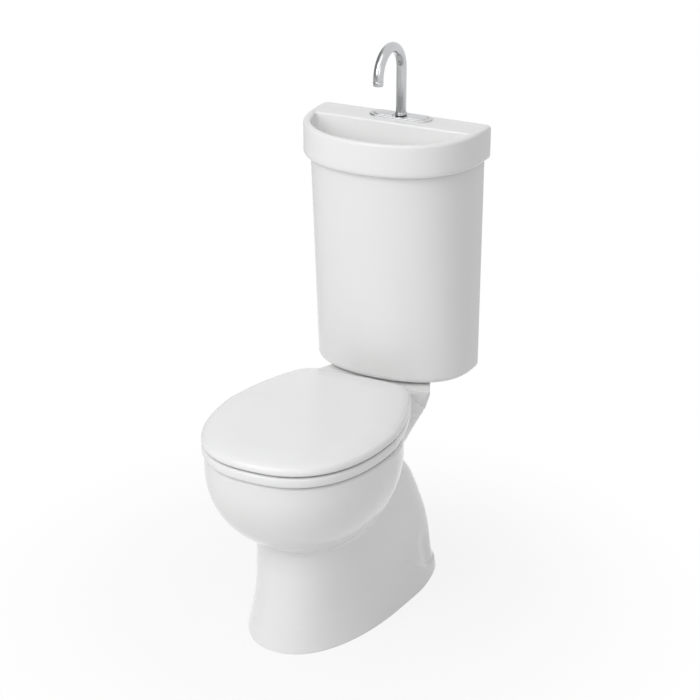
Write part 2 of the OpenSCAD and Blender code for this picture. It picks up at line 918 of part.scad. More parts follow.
module fill_lever_pin() {
    color(steel)
        bar_x(lever_d, lever_z, 1.5, fill_x - 9.5, fill_x + 9.5);
}

// ---- seat ----

gap = 4;                // the buffers' height, under the ring and under the lid
ring_z = rim_z + gap;
ring_top_z = ring_z + ring_h;
lid_z = ring_top_z + gap;
hinge_z = ring_top_z + 1;
lid_back_w = 120;
pin_r = 4;
knuckle_r = 7;
knuckle_l = 8;
barrel_half_l = 10;
side_gap = 1;

function lid_egg(inset) = egg(lid_half_w - inset, bowl_wide_d, lid_front_d - inset,
    lid_back_d + inset, lid_back_w - inset, 2.45, 9);
function ring_hole(outset) = egg(110 + outset, 424, 570 + outset, 294 - outset, 96 + outset,
    2.2, 2.6);

function ring_section() = [
    lift(ring_hole(7), ring_z),
    lift(lid_egg(7), ring_z),
    lift(lid_egg(3.2), ring_z + 2.5),
    lift(lid_egg(2), ring_z + 7),
    lift(lid_egg(2), ring_top_z - 6),
    lift(lid_egg(4), ring_top_z - 1.6),
    lift(lid_egg(9), ring_top_z),
    lift(lid_egg(36), ring_top_z - 0.5),
    lift(ring_hole(14), ring_top_z - 4),
    lift(ring_hole(4), ring_top_z - 8),
    lift(ring_hole(0), ring_z + 8),
    lift(ring_hole(2), ring_z + 2),
];

function lid_section() = concat(
    [lift(lid_egg(70), lid_z + 13), lift(lid_egg(16), lid_z + 13)],
    [lift(lid_egg(8.5), lid_z + 9), lift(lid_egg(6.5), lid_z + 2), lift(lid_egg(5), lid_z)],
    [lift(lid_egg(1.5), lid_z), lift(lid_egg(0), lid_z + 2), lift(lid_egg(0), lid_z + 6)],
    [lift(lid_egg(1.6), lid_z + 10.5), lift(lid_egg(5), lid_z + 14)],
    [lift(lid_egg(12), lid_z + 17), lift(lid_egg(32), lid_z + 21)],
    [lift(lid_egg(72), lid_z + 24.5), lift(lid_egg(120), lid_z + 26)]
);

module hinge_room(z0, z1, d1) {
    for (side = [-1, 1])
        slab(side * hinge_x - 22, side * hinge_x + 22, lid_back_d - 12, d1, z0, z1);
}

// Knuckles beside both hinge posts: inner ones on the lid, outer ones on the ring.
module knuckles(x0, x1) {
    for (side = [-1, 1])
        bar_x(hinge_d, hinge_z, knuckle_r, side < 0 ? -x1 : x0, side < 0 ? -x0 : x1);
}

inner_x = hinge_x - barrel_half_l - side_gap;
outer_x = hinge_x + barrel_half_l + side_gap;

module pin_bores() {
    for (side = [-1, 1])
        bar_x(hinge_d, hinge_z, pin_r + 0.05, side * hinge_x - 20, side * hinge_x + 20);
}

module seat_ring() {
    color(plastic)
        difference() {
            union() {
                difference() {
                    skin(ring_section(), joined = true);
                    for (side = [-1, 1])
                        slab(side < 0 ? -outer_x : inner_x - knuckle_l - side_gap,
                            side < 0 ? -inner_x + knuckle_l + side_gap : outer_x,
                            lid_back_d - 12, hinge_d + 15, ring_z - 1, ring_top_z + 1);
                    // Lets the ring's back edge pass over the posts' round feet.
                    for (side = [-1, 1])
                        slab(side < 0 ? -outer_x - 4 : outer_x - 1,
                            side < 0 ? -outer_x + 1 : outer_x + 4,
                            lid_back_d - 12, hinge_d + 15, ring_z - 1, ring_z + 9);
                }
                knuckles(outer_x, outer_x + knuckle_l);
                for (side = [-1, 1])
                    slab(side < 0 ? -outer_x - knuckle_l : outer_x,
                        side < 0 ? -outer_x : outer_x + knuckle_l,
                        hinge_d - 6, hinge_d + 6, ring_top_z - 8, hinge_z);
            }
            pin_bores();
        }
}

module seat_lid() {
    color(plastic)
        difference() {
            union() {
                difference() {
                    skin(lid_section());
                    hinge_room(lid_z - 1, lid_z + 12, lid_back_d + 32);
                }
                knuckles(inner_x - knuckle_l, inner_x);
                for (side = [-1, 1])
                    slab(side < 0 ? -inner_x : inner_x - knuckle_l,
                        side < 0 ? -inner_x + knuckle_l : inner_x,
                        hinge_d - 6, hinge_d + 6, hinge_z, lid_z + 14);
            }
            pin_bores();
        }
}

// Places of the buffers: x, distance from the wall.
ring_buffer_places = [[150, 330], [-150, 330], [104, 560], [-104, 560]];
lid_buffer_places = [[140, 500], [-140, 500], [124, 300], [-124, 300]];

module ring_buffers() {
    color(rubber)
        for (p = ring_buffer_places)
            post(p[0], p[1], 7, rim_z + 0.3, ring_z);
}

module lid_buffers() {
    color(rubber)
        for (p = lid_buffer_places)
            post(p[0], p[1], 5, ring_top_z + 0.3, lid_z + 13);
}

module hinge_posts() {
    color(plastic)
        for (side = [-1, 1])
            difference() {
                union() {
                    post(side * hinge_x, hinge_d, 13, rim_z, rim_z + 3.5);
                    slab(side * hinge_x - 9.5, side * hinge_x + 9.5, hinge_d - 7, hinge_d + 7,
                        rim_z + 3, hinge_z);
                    bar_x(hinge_d, hinge_z, 8, side * hinge_x - barrel_half_l,
                        side * hinge_x + barrel_half_l);
                }
                bar_x(hinge_d, hinge_z, pin_r, side * hinge_x - 15, side * hinge_x + 15);
                post(side * hinge_x, hinge_d, 3, rim_z - 1, hinge_z - 7);
            }
}

module hinge_pins() {
    color(steel)
        for (side = [-1, 1])
            bar_x(hinge_d, hinge_z, pin_r, side * hinge_x - 18.5, side * hinge_x + 18.5);
}

module hinge_studs() {
    color(steel)
        for (side = [-1, 1])
            post(side * hinge_x, hinge_d, 3, 360, hinge_z - 7);
}

module hinge_sleeves() {
    color(rubber)
        for (side = [-1, 1])
            sleeve(side * hinge_x, hinge_d, 8, 3, 362, rim_z);
}

pan();
cistern_tank();
basin();
cistern_gasket();
cistern_bolts();
cistern_bolt_washers();
cistern_wing_nuts();
spout();
spout_o_ring();
spout_washer();
spout_nut();
spout_hose();
button_plate();
button_housing();
button_full();
button_half();
push_rod_full();
push_rod_half();
button_spring_full();
button_spring_half();
waste_strainer();
waste_seal();
waste_tail();
flush_valve_body();
flush_valve_washer();
flush_valve_nut();
flush_tube();
flush_seal();
rocker_full();
rocker_half();
rocker_pin();
half_flush_float();
fill_valve_body();
fill_valve_washer();
fill_valve_nut();
fill_float();
fill_lever();
fill_lever_pin();
seat_ring();
seat_lid();
ring_buffers();
lid_buffers();
hinge_posts();
hinge_pins();
hinge_studs();
hinge_sleeves();
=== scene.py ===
import math

import bmesh
import bpy
import numpy as np
from mathutils import Matrix, Vector


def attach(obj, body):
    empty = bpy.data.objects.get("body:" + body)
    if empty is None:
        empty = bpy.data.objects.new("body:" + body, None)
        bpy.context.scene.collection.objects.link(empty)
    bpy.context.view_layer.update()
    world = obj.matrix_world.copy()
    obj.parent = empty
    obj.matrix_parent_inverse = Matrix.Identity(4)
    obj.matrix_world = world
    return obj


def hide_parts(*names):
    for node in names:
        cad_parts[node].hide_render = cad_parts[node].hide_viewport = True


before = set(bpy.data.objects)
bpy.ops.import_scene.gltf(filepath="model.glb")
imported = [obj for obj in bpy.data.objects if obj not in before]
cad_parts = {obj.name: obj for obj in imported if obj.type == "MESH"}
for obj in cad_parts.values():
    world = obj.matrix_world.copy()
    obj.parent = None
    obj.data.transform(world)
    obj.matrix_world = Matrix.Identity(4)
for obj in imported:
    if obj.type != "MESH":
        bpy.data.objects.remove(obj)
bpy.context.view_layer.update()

# Lengths are in millimetres. A place is x, the distance from the wall behind the cistern, and
# the height. spot() turns a place into the frame's metres.
WALL = 328.0
RIM_Z = 396.0
SHELF_Z = 402.0
HINGE_X, HINGE_D, HINGE_Z = 77.5, 230.0, 422.0
DECK_LINE_D = 28.0           # middle line of the spout and buttons
BASIN_Z = 920.0
BASIN_LOW = 825.0
BOLT_X, BOLT_D = 62, 60      # bolts between pan and cistern
FLUSH_D = 75                 # flush outlet
SIDES = (-1, 1)


def spot(place):
    x, d, z = place
    return Vector((x, WALL - d, z)) / 1000


# ---------------------------------------------------------------- camera

PHOTO_PX, SENSOR_MM, FOCAL_PX = 700, 36, 2050.17
CENTRE_PX = (340.66, 354.22)
CAMERA_AT = (1.63731, -3.20424, 2.08450)
LOOK_DOWN, LOOK_ROUND = 23.378, 26.794


def photo_camera():
    data = bpy.data.cameras.new("photo_camera")
    data.sensor_width = SENSOR_MM
    data.lens = SENSOR_MM * FOCAL_PX / PHOTO_PX
    data.shift_x = (PHOTO_PX / 2 - CENTRE_PX[0]) / PHOTO_PX
    data.shift_y = (CENTRE_PX[1] - PHOTO_PX / 2) / PHOTO_PX
    data.clip_end = 60
    camera = bpy.data.objects.new("photo_camera", data)
    camera.location = CAMERA_AT
    camera.rotation_euler = (math.radians(90 - LOOK_DOWN), 0, math.radians(LOOK_ROUND))
    bpy.context.scene.collection.objects.link(camera)
    bpy.context.scene.camera = camera


# ---------------------------------------------------------------- shader maths

class Wire:
    """A value in a material. Its operators add the Math nodes that an expression needs."""

    def __init__(self, finish, socket):
        self.finish = finish
        self.socket = socket

    def maths(self, operation, a, b):
        return self.finish.node("ShaderNodeMath", {"operation": operation}, {0: a, 1: b})

    def __radd__(self, other):
        return self.maths("ADD", other, self)

    def __sub__(self, other):
        return self.maths("SUBTRACT", self, other)

    def __mul__(self, other):
        return self.maths("MULTIPLY", self, other)


class Finish:
    """The nodes of one material, or of the world."""

    def __init__(self, tree):
        self.tree = tree
        tree.nodes.clear()

    def node(self, kind, settings=None, sockets=None, out=0):
        made = self.tree.nodes.new(kind)
        for key, value in (settings or {}).items():
            setattr(made, key, value)
        for key, value in (sockets or {}).items():
            if isinstance(value, Wire):
                self.tree.links.new(value.socket, made.inputs[key])
            else:
                made.inputs[key].default_value = value
        return Wire(self, made.outputs[out])

    def close(self, kind, surface):
        end = self.tree.nodes.new(kind)
        self.tree.links.new(surface.socket, end.inputs["Surface"])

    def cloud(self, scale, detail=2.0, stretch=None):
        """Soft noise on the piece's own coordinates, from 0 to 1."""
        where = self.node("ShaderNodeTexCoord", out=3)
        if stretch:
            where = self.node("ShaderNodeMapping", sockets={"Vector": where, "Scale": stretch})
        return self.node("ShaderNodeTexNoise", {"noise_dimensions": "3D"},
                         {"Vector": where, "Scale": scale, "Detail": detail})

    def fade(self, value, start, end, before, after):
        """Eases from before to after while value goes from start to end."""
        return self.node("ShaderNodeMapRange", {"interpolation_type": "SMOOTHSTEP"}, {
            "Value": value, "From Min": start, "From Max": end,
            "To Min": before, "To Max": after})

    def towards(self, place, way):
        """How far place lies in the direction way."""
        return self.node("ShaderNodeVectorMath", {"operation": "DOT_PRODUCT"},
                         {0: place, 1: way}, out=1)


COAT_ROUGH, GLOSS_INDEX = 0.05, 1.4


def surface(name, colour, tint, rough, rough_swing, grain, grain_mm, metal=0.0, coat=0.0,
            drift=9.0, stretch=None):
    """A finish whose colour drifts slowly towards tint, with a fine relief of grain_mm."""
    material = bpy.data.materials.new(name)
    material.use_nodes = True
    finish = Finish(material.node_tree)
    slow = finish.cloud(drift, 3.0)
    fine = finish.cloud(grain, 2.0, stretch)
    tone = finish.node("ShaderNodeMix", {"data_type": "RGBA"},
                       {0: slow, 6: (*colour, 1), 7: (*tint, 1)}, out=2)
    relief = finish.node("ShaderNodeBump", sockets={
        "Strength": 1.0, "Distance": grain_mm / 1000, "Height": fine})
    body = finish.node("ShaderNodeBsdfPrincipled", sockets={
        "Base Color": tone,
        "Roughness": rough + (slow - 0.5) * rough_swing,
        "Metallic": metal,
        "Coat Weight": coat,
        "Coat Roughness": COAT_ROUGH,
        "IOR": GLOSS_INDEX,
        "Normal": relief,
    })
    finish.close("ShaderNodeOutputMaterial", body)
    material.diffuse_color = (*colour, 1)
    return material


def glaze(name, rough, grain_mm):
    return surface(name, (0.84, 0.84, 0.835), (0.80, 0.802, 0.802), rough, 0.04, 34, grain_mm,
                   coat=0.15, drift=3.2)


FINISHES = {
    "pan_china": glaze("pan_glaze", 0.14, 0.10),
    "cistern_china": glaze("cistern_glaze", 0.14, 0.10),
    "basin_china": glaze("basin_glaze", 0.13, 0.08),
    "seat_plastic": surface("seat_plastic", (0.85, 0.85, 0.85), (0.82, 0.82, 0.825), 0.20,
                            0.05, 300, 0.02, coat=0.2),
    "chrome": surface("chrome", (0.58, 0.585, 0.595), (0.52, 0.525, 0.535), 0.22, 0.02,
                      60, 0.0005, metal=1.0, drift=22),
    "steel": surface("steel", (0.48, 0.49, 0.50), (0.38, 0.39, 0.40), 0.30, 0.14, 260, 0.03,
                     metal=1.0, drift=60, stretch=(1, 1, 0.08)),
    "rubber": surface("rubber", (0.030, 0.030, 0.032), (0.055, 0.055, 0.057), 0.62, 0.16,
                      700, 0.05, drift=40),
    "buffer_rubber": surface("buffer_rubber", (0.72, 0.72, 0.71), (0.64, 0.64, 0.63), 0.55,
                             0.12, 600, 0.04, drift=40),
    "moulding": surface("moulding", (0.62, 0.63, 0.64), (0.55, 0.56, 0.575), 0.40, 0.12,
                        420, 0.04, drift=26),
    "valve_plastic": surface("valve_plastic", (0.74, 0.74, 0.71), (0.67, 0.67, 0.64), 0.38,
                             0.12, 420, 0.04, drift=26),
}


# ---------------------------------------------------------------- outlines and curves

def spow(v, p):
    return np.sign(v) * np.abs(v) ** p


def station(z, table, k):
    """Value k of a table of [height, value, ...] rows, on a smooth curve through them."""
    rows = len(table)
    i = 0
    while i < rows - 2 and z > table[i + 1][0]:
        i += 1

    def rise(j):
        return (table[j + 1][k] - table[j][k]) / (table[j + 1][0] - table[j][0])

    def slope(j):
        if j == 0:
            return rise(0)
        if j == rows - 1:
            return rise(j - 1)
        a, b = rise(j - 1), rise(j)
        return 0 if a * b <= 0 else 2 * a * b / (a + b)

    span = table[i + 1][0] - table[i][0]
    u = min(max((z - table[i][0]) / span, 0), 1)
    a, b = table[i][k], table[i + 1][k]
    return (a + (b - a) * u * u * (3 - 2 * u)
            + span * u * (1 - u) * (slope(i) * (1 - u) - slope(i + 1) * u))


def flowing(points, steps):
    """Points on a smooth curve through the given ones, with steps between two of them."""
    p = np.array(points, float)
    p = np.vstack([2 * p[0] - p[1], p, 2 * p[-1] - p[-2]])
    out = []
    for k in range(1, len(p) - 2):
        a, b, c, e = p[k - 1:k + 3]
        for j in range(steps):
            u = j / steps
            out.append(0.5 * (2 * b + (c - a) * u + (2 * a - 5 * b + 4 * c - e) * u ** 2
                              + (3 * b - a - 3 * c + e) * u ** 3))
    out.append(p[-2])
    return out


def even(outline, count):
    """The same closed outline with its points at even distances."""
    loop = np.vstack([outline, outline[:1]])
    run = np.concatenate([[0], np.cumsum(np.hypot(*np.diff(loop, axis=0).T))])
    at = np.arange(count) * run[-1] / count
    return np.stack([np.interp(at, run, loop[:, 0]), np.interp(at, run, loop[:, 1])], 1)


TAPER = 1.4             # how an egg's back narrows
DEE_SIDE, DEE_FRONT = 2.1, 3.0


def egg(half_w, wide, front, back, back_w, n_front, n_back, count=1440):
    """An egg, round at the front, squarer and narrower behind its widest line."""
    t = np.radians(np.arange(count) * 360 / count)
    c, s = np.cos(t), np.sin(t)
    ahead = s <= 0
    u = np.abs(s) ** np.where(ahead, 2 / n_front, 2 / n_back)
    half = np.where(ahead, half_w, half_w + (back_w - half_w) * u ** TAPER)
    x = half * spow(c, np.where(ahead, 2 / n_front, 2 / n_back))
    d = np.where(ahead, wide + (front - wide) * u, wide - (wide - back) * u)
    return np.stack([x, d], 1)


FRONT_STEPS, CORNER_STEPS, BACK_STEPS = 96, 8, 24


def dee(half_w, front, back, corner, cut=None):
    """A D with its flat side to the wall and its two back corners rounded.

    A cut is where a deck cuts the D off, in front of its own flat side."""
    line_d = back if cut is None else cut
    first = math.asin(((line_d + corner - back) / (front - back)) ** (DEE_FRONT / 2))
    t = np.linspace(math.pi - first, first, FRONT_STEPS + 1)
    arc = np.stack([half_w * spow(np.cos(t), 2 / DEE_SIDE),
                    back + (front - back) * np.sin(t) ** (2 / DEE_FRONT)], 1)
    way = arc[-1] - arc[-2]
    tip = arc[-1] + way * (line_d - arc[-1, 1]) / way[1]
    u = np.linspace(0, 1, CORNER_STEPS + 1)[1:, None]
    right = (1 - u) ** 2 * arc[-1] + 2 * u * (1 - u) * tip + u ** 2 * (tip - [corner, 0])
    line = np.stack([np.linspace(right[-1, 0], -right[-1, 0], BACK_STEPS + 1)[1:-1],
                     np.full(BACK_STEPS - 1, line_d)], 1)
    left = right[::-1] * (-1, 1)
    return np.vstack([arc, right, line, left])


def at_height(outline, z):
    outline = np.asarray(outline)
    return np.column_stack([outline, np.broadcast_to(z, len(outline))])


def quarter(radius, steps):
    """(inset, rise) pairs of a quarter round that starts upright and ends level."""
    turn = [math.pi / 2 * k / steps for k in range(steps + 1)]
    return [(radius * (1 - math.cos(a)), radius * math.sin(a)) for a in turn]


# ---------------------------------------------------------------- mesh tools

def add_piece(name, bm, smooth_to=32):
    mesh = bpy.data.meshes.new(name)
    bm.to_mesh(mesh)
    bm.free()
    piece = bpy.data.objects.new(name, mesh)
    bpy.context.scene.collection.objects.link(piece)
    shade(piece, smooth_to)
    return piece


def shade(piece, smooth_to=32):
    piece.data.polygons.foreach_set("use_smooth", [True] * len(piece.data.polygons))
    piece.data.set_sharp_from_angle(angle=math.radians(smooth_to))


def loft(rings, joined=False):
    """A closed skin over rings with the same number of points. Open ends are filled."""
    bm = bmesh.new()
    index = bm.verts.layers.int.new("index")
    loop = bmesh.ops.create_circle(bm, segments=len(rings[0]), radius=1)["verts"]
    for i, vert in enumerate(loop):
        vert[index] = i
        vert.co = spot(rings[0][i])
    edges = start = bm.edges[:]
    for ring in rings[1:] + (rings[:1] if joined else []):
        made = bmesh.ops.extrude_edge_only(bm, edges=edges)["geom"]
        fresh = {g for g in made if isinstance(g, bmesh.types.BMVert)}
        edges = [g for g in made
                 if isinstance(g, bmesh.types.BMEdge) and fresh.issuperset(g.verts)]
        for vert in fresh:
            vert.co = spot(ring[vert[index]])
    if joined:
        bmesh.ops.remove_doubles(bm, verts=bm.verts[:], dist=1e-6)
    else:
        bmesh.ops.edgeloop_fill(bm, edges=start)
        bmesh.ops.edgeloop_fill(bm, edges=edges)
    bmesh.ops.recalc_face_normals(bm, faces=bm.faces[:])
    return bm


def bar(bm, start, end, radius, sides=48):
    """A round bar between two places, added to bm."""
    a, b = spot(start), spot(end)
    way = (b - a).to_track_quat("Z", "Y").to_matrix().to_4x4()
    bmesh.ops.create_cone(bm, cap_ends=True, segments=sides, radius1=radius / 1000,
                          radius2=radius / 1000, depth=(b - a).length,
                          matrix=Matrix.Translation((a + b) / 2) @ way)


def block(bm, x0, x1, d0, d1, z0, z1):
    a, b = spot((x0, d0, z0)), spot((x1, d1, z1))
    size = [abs(v) for v in b - a]
    bmesh.ops.create_cube(bm, size=1, matrix=Matrix.Translation((a + b) / 2)
                          @ Matrix.Diagonal((*size, 1)))


def combine(piece, other, operation="DIFFERENCE", smooth_to=32):
    """Cuts other out of piece, or joins it on. other is a bmesh and is used up."""
    tool = add_piece("tool", other)
    step = piece.modifiers.new("step", "BOOLEAN")
    step.operation = operation
    step.solver = "EXACT"
    step.object = tool
    found = bpy.context.evaluated_depsgraph_get()
    made = bpy.data.meshes.new_from_object(piece.evaluated_get(found))
    piece.modifiers.clear()
    made.name = piece.name
    piece.data = made
    bpy.data.objects.remove(tool)
    shade(piece, smooth_to)


def carve(piece, boxes):
    """Cuts blocks out of piece, given as (x0, x1, d0, d1, z0, z1)."""
    room = bmesh.new()
    for box in boxes:
        block(room, *box)
    combine(piece, room)


def bevel(bm, edges, width, segments):
    bmesh.ops.bevel(bm, geom=edges, offset=width / 1000, segments=segments, profile=0.5,
                    affect="EDGES", material=-1, clamp_overlap=True)


def soften(bm, width, segments, angle=40):
    """Rounds every edge that turns by more than angle."""
    bevel(bm, [e for e in bm.edges
               if e.is_manifold and e.calc_face_angle(0) > math.radians(angle)],
          width, segments)


def round_top(bm, top, width, segments):
    """Rounds the edge round the flat top of bm."""
    bevel(bm, [e for e in bm.edges
               if all(v.co.z > (top - 0.1) / 1000 for v in e.verts)
               and e.calc_face_angle(0) > 0.5],
          width, segments)


def hull_of(bm):
    """Leaves only the outer hull of what is in bm, with its flat sides whole."""
    made = bmesh.ops.convex_hull(bm, input=bm.verts[:])
    bmesh.ops.delete(bm, geom=made["geom_interior"] + made["geom_unused"], context="VERTS")
    bmesh.ops.dissolve_limit(bm, angle_limit=math.radians(1), verts=bm.verts[:],
                             edges=bm.edges[:])
    bmesh.ops.recalc_face_normals(bm, faces=bm.faces[:])


def fit(piece, node, body, slot):
    piece.data.materials.clear()
    piece.data.materials.append(FINISHES[slot])
    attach(piece, body)
    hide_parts(node)
    return piece


# ---------------------------------------------------------------- pan

# Foot and neck: height, half width, widest line, front, back, half width at the back.
PILLAR = [
    [0, 148.5, 230, 570, 91, 131], [32, 140, 240, 561, 91, 128], [47, 136.5, 246, 557.5, 91, 126],
    [78, 128.5, 270, 549, 89, 124.5], [118, 123, 300, 541, 96, 122.5],
    [177, 119, 335, 531, 121, 117.5], [236, 114, 345, 526, 155, 112],
    [286, 110, 345, 520, 200, 106], [300, 109, 345, 518, 212, 108],
    [316, 109, 345, 516, 200, 112], [330, 110, 345, 515, 176, 117],
    [346, 111, 345, 515, 142, 121], [355, 111, 345, 515, 110, 122],
    [364, 110, 345, 515, 90, 121], [378, 103, 345, 515, 84, 98], [396, 102, 345, 515, 80, 84],
]
# Inside of the bowl, in the same order.
WELL = [
    [178, 42, 437, 479, 395, 42], [200, 50, 434, 486, 384, 50], [226, 72, 426, 506, 350, 68],
    [260, 98, 420, 540, 316, 90], [300, 120, 416, 572, 290, 108], [340, 133, 413, 594, 274, 118],
    [366, 136, 412, 602, 268, 120], [374, 128, 412, 594, 276, 112], [391, 128, 412, 594, 276, 112],
    [396, 133, 412, 599, 271, 117],
]
# Centre line of the trap: distance from the wall, height, radius.
TRAP = [
    [436, 160, 40], [428, 132, 39], [404, 112, 38], [368, 106, 38], [332, 122, 38],
    [305, 158, 38], [285, 196, 37], [256, 219, 36], [226, 208, 36], [204, 172, 38],
    [188, 130, 40], [177, 90, 42], [173, 52, 43],
]
# Heights at which the outside is traced, close together where it turns quickly.
OUTSIDE_Z = [
    *range(2, 122, 2), *range(122, 178, 7), *range(178, 320, 3),
    320.5, 321.2, 322.2, 324, 326, 328, 331, 334, 338, 344, 350, 356, 361, 365,
    368, 371, 374, 378, 384,
]
WELL_Z = [
    395.2, 393.6, 391, 386, 380, 376, 374, 371.5, 369, 366, 360, 353, 346, 340, 332, 324, 316,
    308, 300, 290, 280, 270, 260, 251, 242, 234, 226, 218, 209, 200, 188,
]
# Outlet spigot and the roof of the foot's cavity: radius, height.
SPIGOT = [(43, 1), (44, 0), (50, 0), (51, 1), (51, 46), (53, 50), (57, 52)]
SPIGOT_D, CAVITY_Z = 173.0, 52.0
# The bowl's outside is an egg that shrinks downwards like a ball.
BOWL_HALF_W, BOWL_WIDE_D, BOWL_FRONT_D, BOWL_BACK, BOWL_BACK_W = 178.0, 412.0, 647.0, 198, 122
BOWL_TOP_Z, BOWL_DEPTH = 366, 188
# How square each egg is, at its front and back.
PILLAR_ROUND, BOWL_ROUND, WELL_ROUND, CAVITY_ROUND = (2.2, 6), (2.4, 2.7), (2.2, 2.8), (2.2, 4.5)
PAN_FILLET = 14
NECK_Z, NECK_R = 320, 42     # the neck under the shelf, round the flush outlet
RIM_R = 7
DUCT_Z, DUCT_L = 358, 230    # the flush water's way to the bowl
PAN_SMOOTH = 55              # degrees up to which an edge is shaded smooth
FAN_D = 400.0                # the rays of the front fan start here
FAN_FRONT, SIDE, FAN_BACK = 150, 36, 64


def egg_gap(x, d, half_w, wide, front, back, back_w, n_front, n_back):
    """How far outside an egg each point lies, seen along the line from the egg's middle."""
    ahead = d >= wide
    u = np.where(ahead, (d - wide) / (front - wide), (wide - d) / (wide - back))
    n = np.where(ahead, n_front, n_back)
    half = np.where(ahead, half_w, half_w + (back_w - half_w) * np.clip(u, 0, 1) ** TAPER)
    share = np.maximum((np.abs(x / half) ** n + np.abs(u) ** n) ** (1 / n), 1e-4)
    return np.hypot(x, d - wide) * (1 - 1 / share)


def bar_gap(x, d, d0, d1, radius):
    return np.hypot(x, d - np.clip(d, d0, d1)) - radius


def melt(a, b, soft):
    """The nearer of two gaps, with the crease between them filled over a width of soft."""
    h = np.maximum(soft - np.abs(a - b), 0)
    return np.minimum(a, b) - h * h / soft / 4


def ease(v):
    v = np.clip(v, 0, 1)
    return v * v * (3 - 2 * v)


def ledge_gap(d, z):
    """The flange at the back ends in a ledge that rises to the front and fades there."""
    ledge_z = 19 + 62 * ease((d - 150) / 140)
    over = ease((z - ledge_z) / 6)
    scoop = 4 * over * ease((115 - z) / 50) * np.exp(-((d - 165) / 22) ** 2)
    return scoop - 5 * ease((325 - d) / 140) * (1 - over)


def pan_gap(x, d, z):
    """Gap to the pan's outside at height z, with the inside of the bowl not counted."""
    gap = egg_gap(x, d, *[station(z, PILLAR, k) for k in range(1, 6)], *PILLAR_ROUND)
    drop = max(BOWL_TOP_Z - z, 0) / BOWL_DEPTH
    size = max(1 - drop ** 2, 0) ** 0.5
    if size > 0.2:
        bowl = egg_gap(x, d, BOWL_HALF_W * size, BOWL_WIDE_D,
                       BOWL_WIDE_D + (BOWL_FRONT_D - BOWL_WIDE_D) * size,
                       BOWL_WIDE_D - BOWL_BACK * size, BOWL_BACK_W * size, *BOWL_ROUND)
        steep = min(1.1 * drop / size, 3)
        gap = melt(gap, bowl / math.hypot(1, steep), PAN_FILLET)
    if z > NECK_Z:
        reach = NECK_R * min((z - NECK_Z) / 14, 1) ** 0.5
        neck = bar_gap(x, d, 2 * FLUSH_D - FLUSH_D * ease((z - NECK_Z - 2) / 12), 210, reach)
        gap = melt(gap, neck, PAN_FILLET)
    if z < 120:
        gap = gap + ledge_gap(d, z)
    return gap


def rays(back_d):
    """Starting places and directions of the rays that trace an outline."""
    turn = np.linspace(0, -math.pi, FAN_FRONT + 1)
    front = [(0, FAN_D, math.cos(a), -math.sin(a)) for a in turn]
    line = np.linspace(FAN_D, back_d, SIDE + 2)[1:-1]
    left = [(0, d, -1, 0) for d in line]
    turn = np.linspace(math.pi, 0, FAN_BACK + 1)
    back = [(0, back_d, math.cos(a), -math.sin(a)) for a in turn]
    right = [(0, d, 1, 0) for d in line[::-1]]
    return np.array(front + left + back + right)


def trace(gap, z):
    """The outline where gap is nothing at height z."""
    line = np.arange(5.0, 300.0, 0.5)
    inside = line[gap(np.zeros_like(line), line, z) < 0]
    fan = rays(inside[0] + 45)
    reach = np.linspace(0, 440, 221)

    def along(r):
        return gap(fan[:, :1] + fan[:, 2:3] * r, fan[:, 1:2] + fan[:, 3:4] * r, z)

    held = along(reach[None, :]) < 0
    last = held.shape[1] - 1 - np.argmax(held[:, ::-1], axis=1)
    low, high = reach[last][:, None], reach[last + 1][:, None]
    for _ in range(16):
        mid = (low + high) / 2
        within = along(mid) < 0
        low, high = np.where(within, mid, low), np.where(within, high, mid)
    return np.column_stack([fan[:, 0] + fan[:, 2] * low[:, 0], fan[:, 1] + fan[:, 3] * low[:, 0]])


def drawn_in(outline, inset):
    """The outline moved inwards, square to itself."""
    along = np.roll(outline, -1, 0) - np.roll(outline, 1, 0)
    along /= np.hypot(*along.T)[:, None]
    middle = outline.mean(0)
    side = np.stack([-along[:, 1], along[:, 0]], 1)
    if np.sum(side * (middle - outline)) < 0:
        side = -side
    return outline + side * inset


def egg_seen(ways, *shape):
    """Points of an egg in the directions ways from its middle."""
    outline = egg(*shape)
    middle = np.array([0, shape[1]])
    angle = np.arctan2(*(outline - middle).T[::-1])
    order = np.argsort(angle)
    far = np.hypot(*(outline - middle).T)[order]
    r = np.interp(ways, angle[order], far, period=2 * math.pi)
    return middle + np.stack([r * np.cos(ways), r * np.sin(ways)], 1)


def outside_rings():
    """From the underside's edge up the pan's outside and over its rim."""
    foot = trace(pan_gap, 0)
    rings = [at_height(drawn_in(foot, 2), 0), at_height(drawn_in(foot, 0.7), 0.6)]
    rings += [at_height(trace(pan_gap, z), z) for z in OUTSIDE_Z]
    rim = trace(pan_gap, 392)
    return rings + [at_height(drawn_in(rim, inset), RIM_Z - RIM_R + rise)
                    for inset, rise in quarter(RIM_R, 6)]


def bowl_rings(near, ways):
    """Across the rim from its outer edge near, and down the inside of the bowl."""
    opening = egg_seen(ways, *WELL[-1][1:], *WELL_ROUND)
    rings = [at_height(near + (opening - near) * share, RIM_Z) for share in (0.3, 0.6, 0.85, 1)]
    for z in WELL_Z:
        shape = [station(z, WELL, k) for k in range(1, 6)]
        rings.append(at_height(egg_seen(ways, *shape, *WELL_ROUND), z))
    return rings


def trap_rings(ways, under):
    """Along the trap. The points turn from the bowl's directions to the cavity's."""
    turned = under + 2 * math.pi * np.round((ways - under) / (2 * math.pi))
    last = len(TRAP) - 1
    rings = []
    for i, (d, z, r) in enumerate(TRAP):
        before, after = TRAP[max(i - 1, 0)], TRAP[min(i + 1, last)]
        run = np.array([after[0] - before[0], after[1] - before[1]])
        if i in (0, last):
            run = np.array([0, -1])
        run = run / np.hypot(*run)
        t = ways + (turned - ways) * i / last
        rings.append(np.column_stack([r * np.cos(t), d - r * np.sin(t) * run[1],
                                      z + r * np.sin(t) * run[0]]))
    return rings


